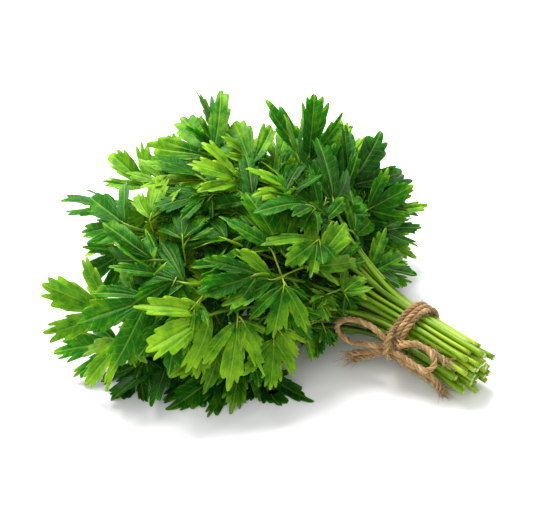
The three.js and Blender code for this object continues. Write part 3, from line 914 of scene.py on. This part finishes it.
@dataclass(frozen=True)
class TwineBow:
    """Three-ply jute twine: three turns round the stems, a knot, loops, tails and a tucked end.

    Routes are in millimetres from the middle of the knot: toward the leaves, away from the
    bundle's side, and up.
    """

    ply_radius: float = 0.79
    ply_offset: float = 0.9
    ply_sides: int = 10
    ply_tone: Pair = (0.5, 0.35)  # middle, and how much thick places are paler
    lay: float = 9.0  # length in which a ply goes once round the twine
    swell: float = 0.10  # share by which plies are thicker in places
    swell_samples: int = 9
    opening: Triple = (3.0, 1.1, 0.45)  # at a cut end: its length, its width, how thin plies get
    turns: int = 3
    turn_samples: int = 20
    turn_ends: float = 0.02  # share of the turns left to the knot at each end
    knot: Triple = (-0.6, -22.2, 4.4)
    tail_right: tuple[Triple, ...] = (
        (-33.7, 7.2, -14.8), (-27.4, 4.2, -7.6), (-20.8, 3.8, -7.4), (-12.9, 3.4, -7.6),
        (-5.6, 0.4, -5.2), (-0.5, 0.4, -1),
    )
    loop_left: tuple[Triple, ...] = (
        (5.8, -0.2, 2.8), (13.4, -2.2, 7), (22.6, -5.1, 8), (29.3, -7.8, 5.2),
        (31.9, -9.4, 0.1), (29.8, -9.3, -4.5), (24.6, -8.3, -6.4), (18.7, -7.3, -5.5),
        (9.2, -4.7, -2.1), (4.5, -2, -1.2), (-0.5, 1, -0.5),
    )
    crossing: tuple[Triple, ...] = (
        (3.4, 2.2, 6.8), (1.6, -2.4, 6.2), (0.4, -4.8, 2.8), (0, -5.2, -0.8),
        (-0.5, -4.2, -4.8), (-1.2, -0.8, -6.8), (-2.4, 2.4, -4), (-3, 1.8, 0.8),
    )
    loop_right: tuple[Triple, ...] = (
        (-5.8, 0.6, 4.2), (-10.5, 4.6, 6.3), (-17.1, 6.3, 6.8), (-24.6, 4.8, 5.5),
        (-27.5, 1.5, 3.1), (-24.3, -1.4, -0.3), (-16.2, -1.5, -0.9), (-9, -1.2, -0.4),
        (-4.5, -1.8, -0.8), (0.5, -1.4, -2.6),
    )
    tail_left: tuple[Triple, ...] = (
        (5.2, -1.4, -5.6), (10.5, -4.7, -8.4), (15.8, -8.5, -9.6), (19.4, -11.5, -11.9),
    )
    second_tails: tuple[Triple, ...] = (
        (18.4, -8.9, -17.2), (14.8, -6.2, -14.6), (10.2, -3, -12), (5, 0.2, -7.8),
        (0.5, 1.6, -4.4), (-5, 2.4, -8.2), (-11.5, 3.9, -10.6), (-20.8, 4.9, -10.9),
        (-27.6, 4.9, -11.4), (-32.2, 8.6, -18.6),
    )
    tucked_end: tuple[Triple, ...] = (
        (1, 2.4, 0.5), (-4, 3.6, 3), (-10, 7.6, 4), (-17.7, 8.9, 4.6), (-26, 9.2, 4),
        (-31, 9.4, 3.2),
    )

    def from_knot(self, points: tuple[Triple, ...]) -> Array:
        """Points given from the knot, from the foot of the tie."""
        axis, side, rise = (np.array(points, float) + np.array(self.knot)).T[..., None]
        return TIE + AXIS * axis + SIDE * side + RISE * rise

    def band(self) -> Array:
        """The turns round the stems, from the knot's back and over the stems to it again."""
        radius = PACK_RADIUS + STEM_ROOM + GAP + TWINE / 2
        start = math.atan2(self.knot[2], self.knot[1])
        ends = self.turn_ends, 1 - self.turn_ends
        share = np.linspace(*ends, self.turn_samples * self.turns)[:, None]
        angle = start + share * self.turns * 2 * math.pi
        axis = (share - 0.5) * self.turns * TWINE
        return TIE + AXIS * axis + (SIDE * np.cos(angle) + RISE * np.sin(angle)) * radius

    def bow(self) -> Array:
        """The centreline of the long twine, from the end of one tail to the end of the other."""
        before = [self.from_knot(part) for part in (self.tail_right, self.loop_left)]
        after = [self.from_knot(part) for part in (self.crossing, self.loop_right, self.tail_left)]
        return eased(spline(np.vstack([*before, self.band(), *after]), TWINE_STEP))

    def plies(self, path: Array) -> Surface:
        """Three plies laid round the centreline, a little open at the two cut ends."""
        surface = Surface()
        _, aside, above = frames_along(path)
        length = np.arange(len(path)) * np.linalg.norm(path[1] - path[0])
        from_end = np.minimum(length, length[-1] - length)
        open_length, open_width, thinning = self.opening
        opening = np.exp(-from_end / open_length)
        average = np.ones(self.swell_samples) / self.swell_samples
        rng = np.random.default_rng(PLY_SEED)
        for k in range(3):
            angle = (2 * math.pi * (length / self.lay + k / 3))[:, None]
            swell = np.convolve(rng.normal(0, 1, len(path)), average, "same")[:, None]
            offset = self.ply_offset + self.swell * swell + (open_width * opening)[:, None]
            centre = path + (aside * np.cos(angle) + above * np.sin(angle)) * offset
            thicker = 1 + self.swell * swell[:, 0]
            radius = self.ply_radius * (1 - thinning * opening) * thicker
            tone = self.ply_tone[0] + self.ply_tone[1] * swell[:, 0]
            surface.add_tube(centre, radius, self.ply_sides, 0, tone)
        return surface

    def lay_down(
        self, name: str, path: Array, jute: bpy.types.Material
    ) -> list[bpy.types.Object]:
        """Args:
            name: the piece's name.
            path: its centreline.
            jute: its material.

        Returns:
            The twine and its fuzz.
        """
        twine = self.plies(path).to_object(name, [jute])
        fuzz = JuteFuzz().build(path).to_object(f"{name}_fuzz", [jute])
        for piece in (twine, fuzz):
            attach(piece, "root")
        line = ORIGIN + path * MM
        length = float(np.linalg.norm(np.diff(line, axis=0), axis=1).sum())
        log.info("%s is %.0f mm long", name, length / MM)
        return [twine, fuzz]

    def dress(self, jute: bpy.types.Material) -> list[bpy.types.Object]:
        """Lays the bow, the second strand of its tails and the end that is tucked under it."""
        pieces = self.lay_down("jute_twine", self.bow(), jute)
        parts = ("band", "knot", "loop_left", "loop_right", "tail_left", "tail_right")
        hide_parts(*[f"twine_{part}" for part in parts])
        ends = {"jute_second_tails": self.second_tails, "jute_tucked_end": self.tucked_end}
        for name, route in ends.items():
            path = eased(spline(self.from_knot(route), TWINE_STEP))
            pieces += self.lay_down(name, path, jute)
        return pieces


# ---- Finishes ----


def linear(colour: str) -> tuple[float, float, float, float]:
    """An sRGB hex colour such as "#8fb53c" as linear red, green, blue and alpha."""
    parts = [int(colour[k : k + 2], 16) / 255 for k in (1, 3, 5)]
    red, green, blue = (p / 12.92 if p <= 0.04045 else ((p + 0.055) / 1.055) ** 2.4 for p in parts)
    return red, green, blue, 1.0


def feed(node: bpy.types.Node, inputs: dict[str | int, object]) -> None:
    """Gives each of a node's inputs its value, or links it to the output that feeds it."""
    for key, value in inputs.items():
        if isinstance(value, Socket):
            node.id_data.links.new(value, node.inputs[key])
        else:
            node.inputs[key].default_value = value


@dataclass
class Recipe:
    """A material while its nodes are added."""

    name: str

    def __post_init__(self) -> None:
        """Starts the material with its shader, its chart and its place in metres."""
        self.material = bpy.data.materials.new(self.name)
        self.material.use_nodes = True
        self.shader = self.material.node_tree.nodes["Principled BSDF"]
        self.chart = self.add("UVMap", uv_map="chart")
        self.place = self.add("TexCoord", out="Object")

    def add(
        self,
        kind: str,
        inputs: dict[str | int, object] | None = None,
        out: str | int = 0,
        stops: tuple[tuple[float, str], ...] = (),
        **settings: object,
    ) -> Socket:
        """Adds a shader node with its settings and links.

        Args:
            kind: the node's type, without its "ShaderNode".
            inputs: for a socket's name or number, a value or the output that feeds it.
            out: the name or number of the output that is wanted.
            stops: a colour ramp's positions and hex colours.
            settings: the node's own settings.

        Returns:
            The wanted output.
        """
        made = self.material.node_tree.nodes.new("ShaderNode" + kind)
        for name, value in settings.items():
            setattr(made, name, value)
        feed(made, inputs or {})
        for number, (position, colour) in enumerate(stops):
            ramp = made.color_ramp.elements
            stop = ramp[number] if number < len(ramp) else ramp.new(position)
            stop.position, stop.color = position, linear(colour)
        return made.outputs[out]

    def add_up(
        self, start: Socket, parts: dict[Socket, float], less: float = 0.0
    ) -> Socket:
        """Adds each part times its weight to `start`, and takes `less` away."""
        total = start
        for part, weight in parts.items():
            total = self.add("Math", {0: part, 1: weight, 2: total}, operation="MULTIPLY_ADD")
        return self.add("Math", {0: total, 1: less}, operation="SUBTRACT") if less else total

    def finish(
        self, height: Socket, relief: float, depth: float, looks: dict[str, object]
    ) -> bpy.types.Material:
        """Raises the surface by up to `depth` millimetres, sets its looks and gives the material."""
        bump = {"Height": height, "Strength": relief, "Distance": depth * MM}
        feed(self.shader, {"Normal": self.add("Bump", bump), **looks})
        return self.material


@dataclass(frozen=True)
class LeafSkin:
    """Living parsley leaf: a thin waxy skin over soft green tissue that lets light through."""

    name: str
    dark: str
    middle: str
    light: str
    vein: str
    roughness: float
    relief: float
    mottle_size: float = 1000 / 130  # mm, as the next
    drift_size: float = 1000 / 28

    def build(self) -> bpy.types.Material:
        """Makes the material.

        The chart runs across from the lobe's main vein and out from the stalk, in millimetres.
        """
        recipe = Recipe(self.name)
        add, noise = recipe.add, {"Vector": recipe.place, "Scale": 1 / (self.mottle_size * MM)}
        across = add("SeparateXYZ", {"Vector": recipe.chart})
        lateral = add("Math", {0: across}, operation="ABSOLUTE")
        mottle = add("TexNoise", {**noise, "Detail": 4.0, "Roughness": 0.6})
        drift = add("TexNoise", {**noise, "Scale": 1 / (self.drift_size * MM), "Detail": 2.0})
        # The main vein is 0.9 mm across and fades toward its point.
        edge = {"Value": lateral, "From Min": 0.75, "From Max": 0.1, "To Min": 0.0, "To Max": 1.0}
        main = add("MapRange", edge, interpolation_type="SMOOTHSTEP")
        # Side veins leave it every 4.6 mm at about fifty degrees, each drawn 0.5 mm wide to show.
        slant = recipe.add_up(across.node.outputs["Y"], {lateral: -0.9, drift: 3.0})
        spaced = add("Math", {0: slant, 1: 4.6 / 2}, operation="PINGPONG")
        edge = {"Value": spaced, "From Min": 0.42, "From Max": 0.08, "To Min": 0.0, "To Max": 0.4}
        side = add("MapRange", edge, interpolation_type="SMOOTHSTEP")
        veins = add("Math", {0: main, 1: side}, operation="MAXIMUM")
        tone = add("Attribute", out="Fac", attribute_name="tone")
        level = recipe.add_up(tone, {mottle: 0.85, drift: 0.42}, 0.68)
        stops = ((0.0, self.dark), (1.0, self.light), (0.5, self.middle))
        green = add("ValToRGB", {"Fac": level}, stops=stops)
        paler = add("MapRange", {"Value": level, "To Min": 0.2, "To Max": 0.42})
        share = add("Math", {0: veins, 1: paler}, operation="MULTIPLY")
        blend = {"Factor": share, "A": green, "B": linear(self.vein)}
        low, high = self.roughness - 0.07, self.roughness + 0.1
        looks = {
            "Base Color": add("Mix", blend, "Result", data_type="RGBA"),
            "Roughness": add("MapRange", {"Value": mottle, "To Min": low, "To Max": high}),
            "IOR": 1.42,
            "Specular IOR Level": 0.16,
            "Subsurface Weight": 0.38,
            "Subsurface Radius": (0.7, 1.0, 0.25),
            "Subsurface Scale": 1.6 * MM,
        }
        return recipe.finish(recipe.add_up(mottle, {veins: -1.0}), self.relief, 0.45, looks)


@dataclass(frozen=True)
class StemSkin:
    """Fresh parsley stem: smooth ribbed skin, paler toward the cut, with paler raised streaks that are
    partly its own colour and partly painted highlight.
    """

    name: str = "fresh_parsley_stem"
    deep: str = "#2e5204"
    mid: str = "#6f930e"
    pale: str = "#a5b636"
    streaks: float = 16.0  # round the stem, so each is 0.6 mm wide
    streak_length: float = 20.0  # mm, as the next two
    drift_size: float = 1000 / 60
    pale_length: float = 75.0

    def build(self) -> bpy.types.Material:
        """Makes the material; the chart goes once round the stem, and along it in millimetres."""
        recipe = Recipe(self.name)
        add = recipe.add
        streaks = (self.streaks, 1 / self.streak_length, 1.0)
        stretched = add("Mapping", {"Vector": recipe.chart, "Scale": streaks})
        # Raised streaks are paler: partly the stem's own colour, partly painted highlight along its
        # ridges.
        streak_and_highlight = add("TexNoise", {"Vector": stretched, "Scale": 1.0, "Detail": 3.0})
        noise = {"Vector": recipe.place, "Scale": 1 / (self.drift_size * MM), "Detail": 2.0}
        drift = add("TexNoise", noise)
        along = add("SeparateXYZ", {"Vector": recipe.chart}, "Y")
        fade = {"Value": along, "From Max": self.pale_length, "To Min": 0.22, "To Max": -0.12}
        lower = add("MapRange", fade)
        tone = add("Attribute", out="Fac", attribute_name="tone")
        level = recipe.add_up(tone, {lower: 1.0, streak_and_highlight: 0.75, drift: 0.25}, 0.5)
        stops = ((0.0, self.deep), (1.0, self.pale), (0.5, self.mid))
        looks = {
            "Base Color": add("ValToRGB", {"Fac": level}, stops=stops),
            "Roughness": 0.36,
            "IOR": 1.42,
            "Subsurface Weight": 0.3,
            "Subsurface Radius": (0.8, 1.0, 0.3),
            "Subsurface Scale": 1.2 * MM,
        }
        return recipe.finish(streak_and_highlight, 0.4, 0.25, looks)


@dataclass(frozen=True)
class CutStem:
    """Knife-cut parsley stem: moist pale pith inside a green ring."""

    name: str = "knife_cut_parsley_stem"
    pith: str = "#9bae60"
    rind: str = "#73962a"
    grain_size: float = 1000 / 1400  # mm

    def build(self) -> bpy.types.Material:
        """Makes the material; the chart runs from 0 in the middle to 1 at the rind."""
        recipe = Recipe(self.name)
        radius = recipe.add("SeparateXYZ", {"Vector": recipe.chart})
        noise = {"Vector": recipe.place, "Scale": 1 / (self.grain_size * MM), "Detail": 2.0}
        grain = recipe.add("TexNoise", noise)
        level = recipe.add_up(radius, {grain: 0.3})
        stops = ((0.55, self.pith), (1.0, self.rind))
        looks = {
            "Base Color": recipe.add("ValToRGB", {"Fac": level}, stops=stops),
            "Roughness": 0.3,
            "Subsurface Weight": 0.3,
            "Subsurface Scale": 1.0 * MM,
        }
        return recipe.finish(grain, 0.5, 0.2, looks)


@dataclass(frozen=True)
class JuteYarn:
    """Spun jute: dry matt bast fibres that run along each ply, straw-brown and uneven."""

    name: str = "spun_jute_yarn"
    shade: str = "#553b1e"
    straw: str = "#a07f50"
    bleached: str = "#ccb283"
    fibres: float = 18.0  # round a ply, so each is 0.3 mm wide: thicker than real ones, to show
    fibre_length: float = 1 / 0.35  # mm, as the next
    drift_size: float = 1000 / 120

    def build(self) -> bpy.types.Material:
        """Makes the material; the chart goes once round a ply, and along it in millimetres."""
        recipe = Recipe(self.name)
        fibres = (self.fibres, 1 / self.fibre_length, 1.0)
        stretched = recipe.add("Mapping", {"Vector": recipe.chart, "Scale": fibres})
        noise = {"Vector": stretched, "Scale": 1.0, "Detail": 4.0, "Roughness": 0.65}
        fibre = recipe.add("TexNoise", noise)
        noise = {"Vector": recipe.place, "Scale": 1 / (self.drift_size * MM), "Detail": 2.0}
        drift = recipe.add("TexNoise", noise)
        tone = recipe.add("Attribute", out="Fac", attribute_name="tone")
        level = recipe.add_up(tone, {fibre: 1.1, drift: 0.3}, 0.65)
        stops = ((0.1, self.shade), (1.0, self.bleached), (0.55, self.straw))
        colour = recipe.add("ValToRGB", {"Fac": level}, stops=stops)
        looks = {"Base Color": colour, "Roughness": 0.92, "Sheen Weight": 0.25}
        return recipe.finish(fibre, 0.9, 0.3, looks)


@dataclass(frozen=True)
class StudioFloor:
    """Matt white paper sweep, rolled flat: it takes soft shadows and gives no reflections."""

    name: str = "matt_white_paper"
    white: str = "#f8f8f8"

    def build(self) -> bpy.types.Material:
        """Makes the material."""
        material = bpy.data.materials.new(self.name)
        material.use_nodes = True
        looks = {"Base Color": linear(self.white), "Roughness": 0.9, "Specular IOR Level": 0.1}
        feed(material.node_tree.nodes["Principled BSDF"], looks)
        return material


# ---- Studio ----


@dataclass(frozen=True)
class SoftLight:
    """A square soft light: its place and side in metres, and its power in watts."""

    name: str
    place: Triple
    size: float
    power: float

    def build(self) -> None:
        """Hangs the light, aimed at the bunch."""
        lamp = bpy.data.lights.new(self.name, "AREA")
        lamp.shape, lamp.size, lamp.energy = "SQUARE", self.size, self.power
        light = bpy.data.objects.new(self.name, lamp)
        light.location = self.place
        light.rotation_euler = (-Vector(self.place)).to_track_quat("-Z", "Y").to_euler()
        bpy.context.scene.collection.objects.link(light)


@dataclass(frozen=True)
class Studio:
    """A pale floor, soft light from high behind the leaves, and the camera."""

    azimuth: float = 42.0
    elevation: float = 36.0
    distance: float = 820.0
    view_width: float = 22.0
    look_at: Triple = (-104.4, -8.2, 25.6)
    floor_size: float = 6.0
    sky: float = 0.62
    key: SoftLight = SoftLight("key", (-0.7, 0.2, 1.15), 0.9, 34.5)
    fill: SoftLight = SoftLight("fill", (0.5, -0.9, 0.8), 0.9, 4.5)

    def to_camera(self) -> Vector:
        """Direction from the bunch to the camera."""
        a, e = math.radians(self.azimuth), math.radians(self.elevation)
        return Vector((math.sin(a) * math.cos(e), -math.cos(a) * math.cos(e), math.sin(e)))

    def add_floor(self) -> None:
        """Adds the floor that the bunch lies on."""
        bpy.ops.mesh.primitive_plane_add(size=self.floor_size)
        floor = bpy.context.object
        floor.name = "floor"
        floor.data.materials.append(StudioFloor().build())

    def add_camera(self) -> None:
        """Adds the camera, aimed at the middle of the bunch."""
        back = self.to_camera()
        lens = bpy.data.cameras.new("camera")
        lens.angle = math.radians(self.view_width)
        camera = bpy.data.objects.new("camera", lens)
        target = Vector(ORIGIN + np.array(self.look_at) * MM)
        camera.location = target + back * self.distance * MM
        camera.rotation_euler = (-back).to_track_quat("-Z", "Y").to_euler()
        bpy.context.scene.collection.objects.link(camera)
        bpy.context.scene.camera = camera

    def build(self) -> None:
        """Sets up the whole studio."""
        scene = bpy.context.scene
        scene.view_settings.view_transform = "Standard"
        scene.view_settings.look = "Medium High Contrast"
        scene.world = bpy.data.worlds.new("studio")
        scene.world.use_nodes = True
        white = {"Color": (1.0, 1.0, 1.0, 1.0), "Strength": self.sky}
        feed(scene.world.node_tree.nodes["Background"], white)
        self.add_floor()
        self.key.build()
        self.fill.build()
        self.add_camera()


def main() -> None:
    """Builds the bunch and its studio, and notes each piece's number of faces."""
    finishes = [
        LeafSkin("waxy_leaf_face", "#041a00", "#1e5d02", "#7da61e", "#9cbd50", 0.45, 0.6).build(),
        LeafSkin("matt_leaf_underside", "#163c12", "#366121", "#71913a", "#8da962", 0.55, 0.65).build(),
        StemSkin().build(),
        CutStem().build(),
    ]
    sprigs = Bunch().build()
    for sprig in sprigs:
        piece = sprig.dress(finishes)
        log.info("%s has %d faces", piece.name, len(piece.data.polygons))
    for piece in TwineBow().dress(JuteYarn().build()):
        log.info("%s has %d faces", piece.name, len(piece.data.polygons))
    Studio().build()
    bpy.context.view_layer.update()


if __name__ == "__main__":
    main()
